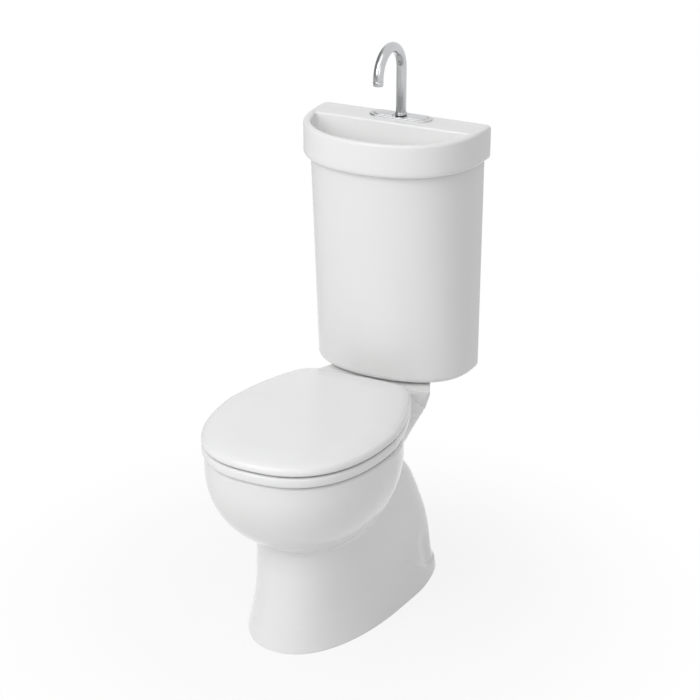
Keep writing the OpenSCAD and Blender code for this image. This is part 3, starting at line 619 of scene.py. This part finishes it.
def foot_rings(cavity, under):
    """Round the outlet spigot and back down the inside of the foot."""
    sweep = np.stack([np.cos(under), np.sin(under)], 1)
    rings = [at_height([0, SPIGOT_D] + sweep * r, z) for r, z in SPIGOT]
    ring = rings[-1][:, :2]
    return rings + [at_height(ring + (cavity - ring) * 0.5, CAVITY_Z),
                    at_height(drawn_in(cavity, 4), CAVITY_Z), at_height(cavity, CAVITY_Z - 4),
                    at_height(cavity, 20), at_height(cavity, 0)]


def shelf():
    """The slab that the cistern stands on, with its underside drawn in."""
    bm = bmesh.new()
    for side in SIDES:
        bar(bm, (side * 117, 146, 394), (side * 117, 146, SHELF_Z), 8, 64)
        bar(bm, (side * 60, 32, 392), (side * 60, 32, SHELF_Z), 14, 64)
        bar(bm, (side * 103, 136, 358), (side * 103, 136, 362), 8, 64)
        bar(bm, (side * 54, 42, 360), (side * 54, 42, 364), 12, 64)
    hull_of(bm)
    soften(bm, 2.4, 4, 50)
    return bm


def pan():
    rings = outside_rings()
    near = rings[-1][:, :2]
    ways = np.arctan2(near[:, 1] - BOWL_WIDE_D, near[:, 0])
    cavity = trace(lambda x, d, z: egg_gap(x, d, 114, 236, 538, 112, 104, *CAVITY_ROUND), 0)
    under = np.arctan2(cavity[:, 1] - SPIGOT_D, cavity[:, 0])
    rings += bowl_rings(near, ways) + trap_rings(ways, under) + foot_rings(cavity, under)
    piece = add_piece("pan_shell", loft(rings, joined=True))
    combine(piece, shelf(), "UNION", PAN_SMOOTH)

    wide, narrow, duct = bmesh.new(), bmesh.new(), bmesh.new()
    for side in SIDES:
        bar(wide, (side * HINGE_X, HINGE_D, 356), (side * HINGE_X, HINGE_D, 397), 8)
        bar(wide, (side * BOLT_X, BOLT_D, 330), (side * BOLT_X, BOLT_D, 374), 16)
        bar(narrow, (side * BOLT_X, BOLT_D, 340), (side * BOLT_X, BOLT_D, 403), 5, 32)
    bar(wide, (0, FLUSH_D, 378), (0, FLUSH_D, 403), 48, 96)
    bar(narrow, (0, FLUSH_D, 342), (0, FLUSH_D, 379), 30, 64)
    fall = math.radians(4.5)
    bar(duct, (0, FLUSH_D, DUCT_Z),
        (0, FLUSH_D + DUCT_L * math.cos(fall), DUCT_Z - DUCT_L * math.sin(fall)), 16)
    for holes in (wide, narrow, duct):
        combine(piece, holes, smooth_to=PAN_SMOOTH)
    return fit(piece, "pan", "toilet", "pan_china")


# ---------------------------------------------------------------- cistern and basin

TANK_Z, TANK_H, TANK_HALF_W = 406.0, 459.0, 170.0
TANK_TOP_D, TANK_FOOT_D, TANK_WALL = 204.0, 152.0, 10.0
TANK_TOP_Z = TANK_Z + TANK_H
TANK_FLOOR = 12
CORNER = 9                   # at the wall, of tank and basin
INLET_X, INLET_D = -105, 42
SCREW_X, SCREW_Z = 110, 820  # holes for the wall screws


def tank_ring(z, inset, back):
    front = TANK_FOOT_D + (TANK_TOP_D - TANK_FOOT_D) * (z - TANK_Z) / TANK_H
    half = TANK_HALF_W - 2 * (TANK_TOP_Z - z) / TANK_H
    return at_height(dee(half - inset, front - inset, back, CORNER), z)


def tank_foot(radius, z, wall, steps):
    """A quarter round from the flat underside into the walls."""
    return [tank_ring(z + radius - rise, wall + inset, wall + 0.5 * inset)
            for inset, rise in reversed(quarter(radius, steps))]


def cistern():
    walls = np.linspace(TANK_Z + 40, TANK_TOP_Z - 2, 12)
    rings = tank_foot(15, TANK_Z, 0, 8)
    rings += [tank_ring(z, 0, 0) for z in walls]
    rings += [tank_ring(TANK_TOP_Z - 0.6, 0.6, 0.6)]
    rings += [tank_ring(TANK_TOP_Z, inset, inset) for inset in (2, TANK_WALL - 2)]
    rings += [tank_ring(z, TANK_WALL, TANK_WALL) for z in walls[::-1]]
    rings += tank_foot(14, TANK_Z + TANK_FLOOR, TANK_WALL, 5)[::-1]
    piece = add_piece("cistern_shell", loft(rings))
    holes = bmesh.new()
    below, above = TANK_Z - 1, TANK_Z + TANK_FLOOR + 1
    bar(holes, (0, FLUSH_D, below), (0, FLUSH_D, above), 31, 64)
    bar(holes, (INLET_X, INLET_D, below), (INLET_X, INLET_D, above), 12.2)
    for side in SIDES:
        bar(holes, (side * BOLT_X, BOLT_D, below), (side * BOLT_X, BOLT_D, above), 5, 32)
        bar(holes, (side * SCREW_X, -1, SCREW_Z), (side * SCREW_X, TANK_WALL + 1, SCREW_Z), 4, 32)
    combine(piece, holes)
    return fit(piece, "cistern_tank", "toilet", "cistern_china")


BASIN_HALF_W, BASIN_D, BAND_Z, WASTE_D = 183.0, 216.0, 853.0, 128.0
SKIN = 9.0
UNDER_CORNER, BAND_CORNER = 14, 13
LIP_R, BAND_TOP_R, BAND_FOOT_R = 5, 5.5, 9
# Inside of the basin: height, half width, front, distance of its back from the wall.
BASIN_WELL = [
    [825, 92, 160, 95], [828, 108, 168, 90], [841, 130, 179, 82], [868, 150, 188, 77],
    [898, 164, 199, 74], [914, 168, 203, 72.5],
]


def waste_ring(ring, radius, z):
    """A circle round the waste whose points face those of ring."""
    way = ring[:, :2] - [0, WASTE_D]
    way /= np.hypot(*way.T)[:, None]
    return at_height([0, WASTE_D] + way * radius, z)


def band_ring(z, inset, back=0.0):
    return at_height(dee(BASIN_HALF_W - inset, BASIN_D - inset, back, BAND_CORNER), z)


def basin():
    well = flowing(BASIN_WELL, 5)
    inner = [at_height(dee(w, front, 0, CORNER, back), z) for z, w, front, back in well]
    _, w, front, back = BASIN_WELL[-1]
    inner += [at_height(dee(w + inset, front + inset, 0, CORNER, back - inset * 0.6),
                        BASIN_Z - LIP_R + rise)
              for inset, rise in quarter(LIP_R, 6)[1:]]
    floor = inner[0]
    middle = waste_ring(floor, 29, BASIN_LOW)
    rings = [waste_ring(floor, 20, BASIN_LOW - SKIN), waste_ring(floor, 20, BASIN_LOW - 1),
             waste_ring(floor, 21, BASIN_LOW), middle, (middle + floor) / 2]
    rings += inner
    rings += [band_ring(BASIN_Z - BAND_TOP_R + rise, inset, 0.4 * inset)
              for inset, rise in reversed(quarter(BAND_TOP_R, 7))]
    rings += [band_ring(z, 0) for z in (900, 880, 866)]
    rings += [band_ring(BAND_Z + BAND_FOOT_R - rise, inset)
              for inset, rise in quarter(BAND_FOOT_R, 8)[1:]]
    lap_w, lap_d = TANK_HALF_W + 2.4, TANK_TOP_D + 2.4
    rings += [at_height(dee(lap_w, lap_d, 6, CORNER), z) for z in (BAND_Z + 1, TANK_TOP_Z)]
    rings.append(at_height(dee(TANK_HALF_W - 13, TANK_TOP_D - 13, 0, UNDER_CORNER, 63), TANK_TOP_Z))
    rings += [at_height(dee(w + SKIN, front + SKIN, 0, UNDER_CORNER, back - SKIN), z - SKIN)
              for z, w, front, back in well[::-1] if z < 862]
    rings.append(waste_ring(floor, 30, BASIN_LOW - SKIN))
    piece = add_piece("basin_shell", loft(rings, joined=True))
    carve(piece, [(-lap_w, lap_w, -1, 9, BAND_Z - 1, TANK_TOP_Z)])
    carve(piece, [(-145, 145, 12, 62, TANK_TOP_Z - 1, BASIN_Z - 12)])
    combine(piece, stadium(118, 32, BASIN_Z - 20, BASIN_Z + 10))
    return fit(piece, "basin", "toilet", "basin_china")


# ---------------------------------------------------------------- spout and buttons

def stadium(length, width, z0, z1):
    bm = bmesh.new()
    for side in SIDES:
        x = side * (length - width) / 2
        bar(bm, (x, DECK_LINE_D, z0), (x, DECK_LINE_D, z1), width / 2, 64)
    hull_of(bm)
    return bm


def spout():
    """A tube bent over in a half circle, turned on a collar, with a rounded outlet."""
    radius, bore, bend, bend_z = 10.0, 8.3, 52.0, 1018.0
    foot, out_z = 929.0, 1008.0
    path = [(DECK_LINE_D, z) for z in np.linspace(foot, bend_z - 6, 8)]
    path += [(DECK_LINE_D + bend - bend * math.cos(a), bend_z + bend * math.sin(a))
             for a in np.linspace(0, math.pi, 49)]
    path += [(DECK_LINE_D + 2 * bend, out_z + z) for z in (9.6, 9, 8.4, 2)]
    steps = np.array(path)
    way = np.gradient(steps, axis=0)
    way /= np.hypot(*way.T)[:, None]
    turn = np.linspace(0, 2 * math.pi, 48, endpoint=False)

    def ring(i, r, back=0.0):
        d, z = steps[i] - way[i] * back
        across = r * np.sin(turn)
        return np.column_stack([r * np.cos(turn), d + across * way[i, 1], z - across * way[i, 0]])

    last = len(steps) - 1
    rings = [ring(i, radius - (0.35 if i == last - 2 else 0)) for i in range(last)]
    rings += [ring(last, radius, -0.6), ring(last, radius - 0.3, -1.5),
              ring(last, radius - 0.85, -2), ring(last, bore + 0.3, -1.6), ring(last, bore, -0.8)]
    rings += [ring(i, bore) for i in range(last - 1, -1, -1)]
    piece = add_piece("spout_tube", loft(rings, joined=True))
    collar = bmesh.new()
    bar(collar, (0, DECK_LINE_D, 924), (0, DECK_LINE_D, 929.5), 12, 64)
    soften(collar, 1.2, 4)
    combine(piece, collar, "UNION")
    shank = bmesh.new()
    bar(shank, (0, DECK_LINE_D, 880), (0, DECK_LINE_D, 924.5), 8)
    combine(piece, shank, "UNION")
    hole = bmesh.new()
    bar(hole, (0, DECK_LINE_D, 870), (0, DECK_LINE_D, 935), 5)
    combine(piece, hole)
    return fit(piece, "spout", "toilet", "chrome")


PLATE_T, BUTTON_Z = 3, BASIN_Z + 3.8
BUTTON_HALF_W, BUTTON_START, BUTTON_L = 14.5, 13, 44


def button_shape(side, grow, z0, z1):
    """Square by the spout and round at the far end."""
    bm = bmesh.new()
    half = BUTTON_HALF_W + grow
    mid = side * (BUTTON_START + BUTTON_L - BUTTON_HALF_W)
    bar(bm, (mid, DECK_LINE_D, z0), (mid, DECK_LINE_D, z1), half, 64)
    block(bm, side * (BUTTON_START - grow), mid, DECK_LINE_D - half, DECK_LINE_D + half, z0, z1)
    hull_of(bm)
    return bm


def button_plate():
    bm = stadium(132, 42, BASIN_Z, BASIN_Z + PLATE_T)
    round_top(bm, BASIN_Z + PLATE_T, 1.6, 5)
    piece = add_piece("button_surround", bm)
    for side in SIDES:
        combine(piece, button_shape(side, 0.6, BASIN_Z - 1, BASIN_Z + 5))
    hole = bmesh.new()
    bar(hole, (0, DECK_LINE_D, BASIN_Z - 1), (0, DECK_LINE_D, BASIN_Z + 4), 8.3)
    combine(piece, hole)
    return fit(piece, "button_plate", "toilet", "chrome")


def button(side, name, node, body):
    bm = button_shape(side, 0, BUTTON_Z - 3, BUTTON_Z)
    round_top(bm, BUTTON_Z, 1.2, 4)
    piece = add_piece(name, bm)
    disc = bmesh.new()
    bar(disc, (side * 38, DECK_LINE_D, BUTTON_Z - 8), (side * 38, DECK_LINE_D, BUTTON_Z - 2), 12)
    combine(piece, disc, "UNION")
    return fit(piece, node, body, "chrome")


# ---------------------------------------------------------------- seat

LID_HALF_W, LID_FRONT_D, LID_BACK_D, LID_BACK_W = 178.5, 656.0, 211.0, 120.0
RING_Z, RING_TOP_Z, LID_Z = 400.0, 421.0, 425.0
INNER_X, OUTER_X, KNUCKLE_L = 66.5, 88.5, 8.0
SEAT_POINTS = 240


def lid_egg(inset):
    return even(egg(LID_HALF_W - inset, BOWL_WIDE_D, LID_FRONT_D - inset, LID_BACK_D + inset,
                    LID_BACK_W - inset, 2.45, 9), SEAT_POINTS)


def ring_hole(outset):
    return even(egg(110 + outset, 424, 570 + outset, 294 - outset, 96 + outset, 2.2, 2.6),
                SEAT_POINTS)


def knuckles(piece, x0, x1, z0, z1):
    """Joins the hinge knuckles to a seat piece and bores them for the pins."""
    for side in SIDES:
        eye, web = bmesh.new(), bmesh.new()
        bar(eye, (side * x0, HINGE_D, HINGE_Z), (side * x1, HINGE_D, HINGE_Z), 7, 64)
        combine(piece, eye, "UNION")
        block(web, side * x0, side * x1, HINGE_D - 6, HINGE_D + 6, z0, z1)
        combine(piece, web, "UNION")
    bores = bmesh.new()
    for side in SIDES:
        bar(bores, (side * (HINGE_X - 20), HINGE_D, HINGE_Z),
            (side * (HINGE_X + 20), HINGE_D, HINGE_Z), 4.05, 64)
    combine(piece, bores)


def notch(piece, x0, x1, d1, z0, z1):
    """Cuts the same room out of a seat piece's back edge on both sides."""
    carve(piece, [(side * x0, side * x1, LID_BACK_D - 12, d1, z0, z1) for side in SIDES])


def seat_ring():
    outer = flowing([[6, 400], [2, 402.5], [0.6, 407], [0.6, 415], [2.6, 419.4], [8, 421],
                     [22, 421.2], [36, 420.5]], 4)
    inner = flowing([[14, 417], [4, 413], [0, 408], [2, 402], [7, 400]], 4)
    rings = [at_height(lid_egg(inset), z) for inset, z in outer]
    above, below = rings[-1], at_height(ring_hole(14), 417)
    for share in (0.25, 0.5, 0.75):
        ring = above + (below - above) * share
        ring[:, 2] = 417 + 3.5 * (1 - share ** 2)
        rings.append(ring)
    rings += [at_height(ring_hole(outset), z) for outset, z in inner]
    piece = add_piece("seat_ring_shell", loft(rings, joined=True))
    notch(piece, INNER_X - KNUCKLE_L - 1, OUTER_X, HINGE_D + 15, RING_Z - 1, RING_TOP_Z + 1)
    # Lets the back edge pass over the posts' round feet.
    notch(piece, OUTER_X - 1, OUTER_X + 4, HINGE_D + 15, RING_Z - 1, RING_Z + 9)
    knuckles(piece, OUTER_X, OUTER_X + KNUCKLE_L, RING_TOP_Z - 8, HINGE_Z)
    return fit(piece, "seat_ring", "ring", "seat_plastic")


def seat_lid():
    lip = [[70, 438], [16, 438], [8.5, 434], [6.5, 427], [5, 425]]
    edge = flowing([[1.5, 425], [0, 427], [0, 431], [1.6, 435.5], [5, 439], [12, 442],
                    [20, 443.9], [32, 446], [50, 448.2]], 4)
    rings = [at_height(lid_egg(inset), z) for inset, z in lip + [list(p) for p in edge]]
    crown = rings[-1]
    middle = np.array([0, 430, 0])
    for k in range(1, 15):
        size = 1 - k / 14.5
        ring = middle + (crown - middle) * [size, size, 1]
        ring[:, 2] = 448.2 + 2.8 * (1 - size ** 2)
        rings.append(ring)
    piece = add_piece("seat_lid_shell", loft(rings))
    notch(piece, HINGE_X - 22, HINGE_X + 22, LID_BACK_D + 32, LID_Z - 1, LID_Z + 12)
    knuckles(piece, INNER_X - KNUCKLE_L, INNER_X, HINGE_Z, LID_Z + 14)
    return fit(piece, "seat_lid", "lid", "seat_plastic")


# ---------------------------------------------------------------- other pieces, studio

def finish_cad_nodes():
    """Every node that keeps its drawn shape gets the finish of its own slot."""
    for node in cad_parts.values():
        for place in node.material_slots:
            name = place.material.name.split(".")[0]
            place.material = FINISHES[name]


DIM_SIDE = (-0.89, -0.45, 0)  # the way to the dim side that the metal mirrors
WHITE = (1, 1, 1, 1)
# Lamps: name, place in metres, width in metres, watts.
LAMPS = [
    ("key", (-1.1, -3.0, 2.7), 2.6, 66),
    ("fill", (2.0, -2.6, 2.2), 1.6, 9),
    ("top", (-0.2, -1.2, 3.3), 2.2, 15),
]
AIM = Vector((0, 0, 0.5))


def studio_floor():
    """Takes the shadow near the toilet and is plain white further out. In the metal it shows a
    painted white glow, with painted shade towards the dim side.
    """
    floor = bmesh.new()
    bmesh.ops.create_grid(floor, x_segments=1, y_segments=1, size=14)
    floor = add_piece("studio_floor", floor)
    material = bpy.data.materials.new("studio_floor")
    material.use_nodes = True
    paint = Finish(material.node_tree)
    where = paint.node("ShaderNodeTexCoord", out=3)
    far = paint.node("ShaderNodeVectorMath", {"operation": "LENGTH"}, {0: where}, out=1)
    away = paint.fade(far, 0.25, 0.85, 0.84, 1)
    seen = paint.node("ShaderNodeLightPath", out=0)
    glossy = paint.node("ShaderNodeLightPath", out=3)
    # painted shade: the glow that the metal mirrors fades towards DIM_SIDE
    dim = paint.fade(paint.towards(where, DIM_SIDE), 0.1, 0.9, 1, 0.35)
    shown = paint.node("ShaderNodeMath", {"operation": "MAXIMUM"},
                       {0: seen * away, 1: glossy * dim})
    matt = paint.node("ShaderNodeBsdfDiffuse", sockets={"Color": (0.75, 0.75, 0.75, 1)})
    white = paint.node("ShaderNodeEmission", sockets={"Color": WHITE, "Strength": 1.0})
    both = paint.node("ShaderNodeMixShader", sockets={0: shown, 1: matt, 2: white})
    paint.close("ShaderNodeOutputMaterial", both)
    floor.data.materials.append(material)


def studio_world():
    """The metal mirrors a white room with a dim side, and the camera sees plain white."""
    world = bpy.data.worlds.new("studio")
    bpy.context.scene.world = world
    world.use_nodes = True
    sky = Finish(world.node_tree)
    way = sky.node("ShaderNodeTexCoord", out=0)
    dim = sky.fade(sky.towards(way, DIM_SIDE), 0.1, 0.6, 1, 0.3)
    room, mirrored, white = [
        sky.node("ShaderNodeBackground", sockets={"Color": WHITE, "Strength": strength})
        for strength in (0.5, dim, 1.0)]
    glossy = sky.node("ShaderNodeLightPath", out=3)
    seen = sky.node("ShaderNodeLightPath", out=0)
    lit = sky.node("ShaderNodeMixShader", sockets={0: glossy, 1: room, 2: mirrored})
    both = sky.node("ShaderNodeMixShader", sockets={0: seen, 1: lit, 2: white})
    sky.close("ShaderNodeOutputWorld", both)


def studio_lamps():
    for name, place, size, power in LAMPS:
        data = bpy.data.lights.new(name, "AREA")
        data.size = size
        data.energy = power
        lamp = bpy.data.objects.new(name, data)
        lamp.location = place
        lamp.rotation_euler = (Vector(place) - AIM).to_track_quat("Z", "Y").to_euler()
        bpy.context.scene.collection.objects.link(lamp)


bpy.context.scene.view_settings.view_transform = "Standard"
photo_camera()
finish_cad_nodes()
pan()
cistern()
basin()
spout()
button_plate()
button(1, "full_flush_cap", "button_full", "full_button")
button(-1, "half_flush_cap", "button_half", "half_button")
seat_ring()
seat_lid()
studio_floor()
studio_world()
studio_lamps()
